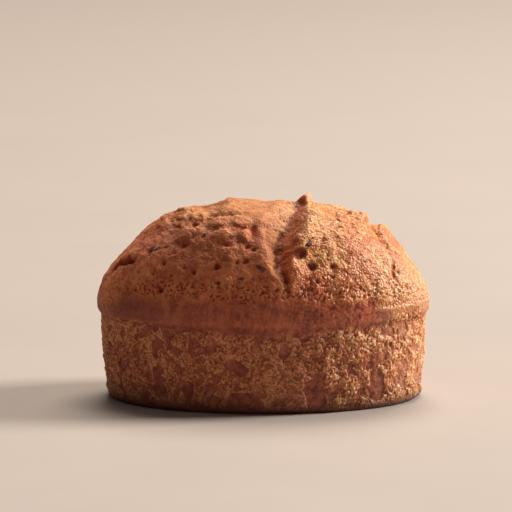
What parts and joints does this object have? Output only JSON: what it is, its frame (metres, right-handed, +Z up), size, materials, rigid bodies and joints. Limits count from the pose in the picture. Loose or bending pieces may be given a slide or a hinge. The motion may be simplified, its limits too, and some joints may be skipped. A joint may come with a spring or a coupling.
{
  "type": "financier cake",
  "caption": "Oval almond financier baked in a mini-loaf mould: flat base, crumbed wall, browned lip and a domed top that has burst open.",
  "frame": {"origin": "centre of the flat base, on the surface that the cake stands on", "axes": "+X along the cake's length towards the lobe with the raised flap, +Z up; the burst opens wide on the -Y side, which is the front"},
  "size_m": [0.078, 0.049, 0.0481],
  "materials": {
    "crust": "butter-browned crust, granular, with a light glaze on the dome"
  },
  "bodies": {
    "root": {"financier": "crust"}
  },
  "joints": []
}
